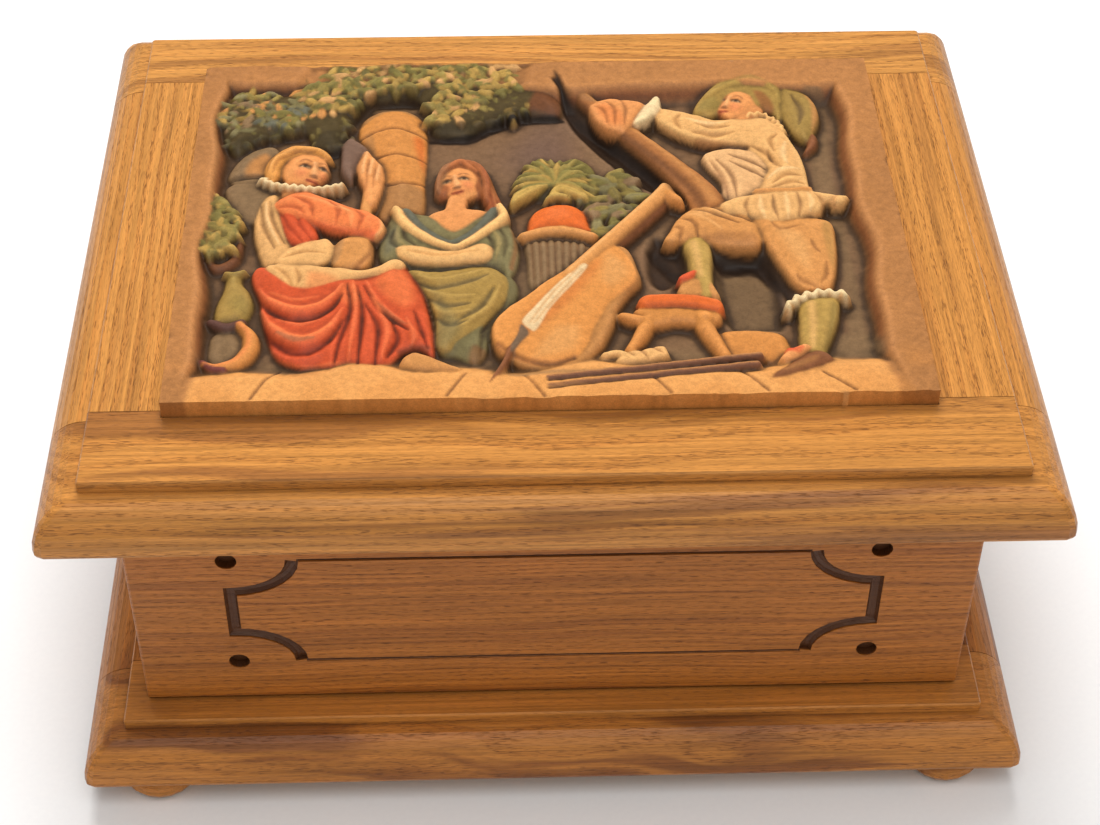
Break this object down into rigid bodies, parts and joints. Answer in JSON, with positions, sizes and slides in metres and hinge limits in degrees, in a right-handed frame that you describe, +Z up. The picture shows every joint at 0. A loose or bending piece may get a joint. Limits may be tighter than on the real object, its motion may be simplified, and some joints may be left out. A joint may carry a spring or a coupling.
{
  "type": "music box",
  "caption": "Lidded oak music box: moulded base and lid, carved and painted lid plaque, routed front panel, bun feet, and a key-wound cylinder movement with comb under glass.",
  "frame": {"origin": "on the surface the feet stand on, under the middle of the case", "axes": "+Z up, -Y towards the routed front panel, +X to the right seen from the front"},
  "size_m": [0.21, 0.1714, 0.099],
  "materials": {
    "oak": "satin varnish, open grain",
    "plywood": "bare sanded",
    "painted_carving": "hand painted, antique wash, satin",
    "felt": "matt pile",
    "glass": "clear polished",
    "brass": "brushed",
    "steel": "brushed",
    "plated": "bright plated"
  },
  "bodies": {
    "case": {"base_front_rail": "oak", "base_back_rail": "oak", "base_left_stile": "oak", "base_right_stile": "oak", "bottom_board": "plywood", "foot_front_left": "oak", "foot_front_right": "oak", "foot_back_left": "oak", "foot_back_right": "oak", "front_panel": "oak", "back_panel": "oak", "left_side_panel": "oak", "right_side_panel": "oak", "left_hinge_body_leaf": "brass", "left_hinge_pin": "steel", "right_hinge_body_leaf": "brass", "right_hinge_pin": "steel", "compartment_divider": "oak", "tray_felt": "felt", "glass_ledge_left": "oak", "glass_ledge_right": "oak", "glass_pane": "glass", "bedplate": "brass", "movement_screw_1": "steel", "movement_screw_2": "steel", "movement_screw_3": "steel", "barrel_bridge": "brass", "bridge_post_front": "brass", "bridge_post_back": "brass", "cylinder_bearing": "brass", "train_bearing": "brass", "train_plate": "brass", "governor_cock": "brass", "comb": "steel", "comb_base": "brass", "stop_lever_pivot": "steel"},
    "lid": {"lid_front_rail": "oak", "lid_back_rail": "oak", "lid_left_stile": "oak", "lid_right_stile": "oak", "lid_backing_panel": "oak", "lid_lining": "felt", "relief_plaque": "painted_carving", "left_hinge_lid_leaf": "brass", "right_hinge_lid_leaf": "brass"},
    "winding": {"winding_arbor": "steel", "winding_key": "plated"},
    "barrel": {"spring_barrel": "brass", "barrel_gear": "brass", "barrel_cap": "brass", "mainspring": "steel"},
    "cylinder": {"pinned_cylinder": "brass", "cylinder_arbor": "steel", "cylinder_gear": "brass"},
    "train": {"train_arbor": "steel", "worm_wheel": "brass"},
    "governor": {"governor_worm": "steel", "governor_fan": "steel"},
    "stop_lever": {"stop_lever": "plated"}
  },
  "joints": [
    {"name": "lid_hinge", "type": "hinge", "parent": "case", "child": "lid", "pos_m": [0, 0.0736, 0.08117], "axis": [-1, 0, 0], "range_deg": [0, 95]},
    {"name": "key_wind", "type": "hinge", "parent": "case", "child": "winding", "pos_m": [-0.036, 0.036, 0.008], "axis": [0, 0, 1], "range_deg": [0, 1350]},
    {"name": "cylinder_turn", "type": "hinge", "parent": "case", "child": "cylinder", "pos_m": [0, 0.036, 0.0335], "axis": [1, 0, 0], "continuous": true},
    {"name": "barrel_turn", "type": "hinge", "parent": "case", "child": "barrel", "pos_m": [-0.036, 0.036, 0.03], "axis": [0, 0, 1], "continuous": true},
    {"name": "train_turn", "type": "hinge", "parent": "case", "child": "train", "pos_m": [0.035, 0.0464, 0.0395], "axis": [1, 0, 0], "continuous": true},
    {"name": "governor_turn", "type": "hinge", "parent": "case", "child": "governor", "pos_m": [0.03525, 0.0548, 0.03], "axis": [0, 0, 1], "continuous": true},
    {"name": "stop_lever_swing", "type": "hinge", "parent": "case", "child": "stop_lever", "pos_m": [0.051, 0.034, 0.0277], "axis": [0, 0, 1], "range_deg": [0, 14]}
  ],
  "couplings": [
    {"joint": "barrel_turn", "follows": "cylinder_turn", "ratio": 0.33333},
    {"joint": "train_turn", "follows": "cylinder_turn", "ratio": -3},
    {"joint": "governor_turn", "follows": "cylinder_turn", "ratio": 24}
  ]
}
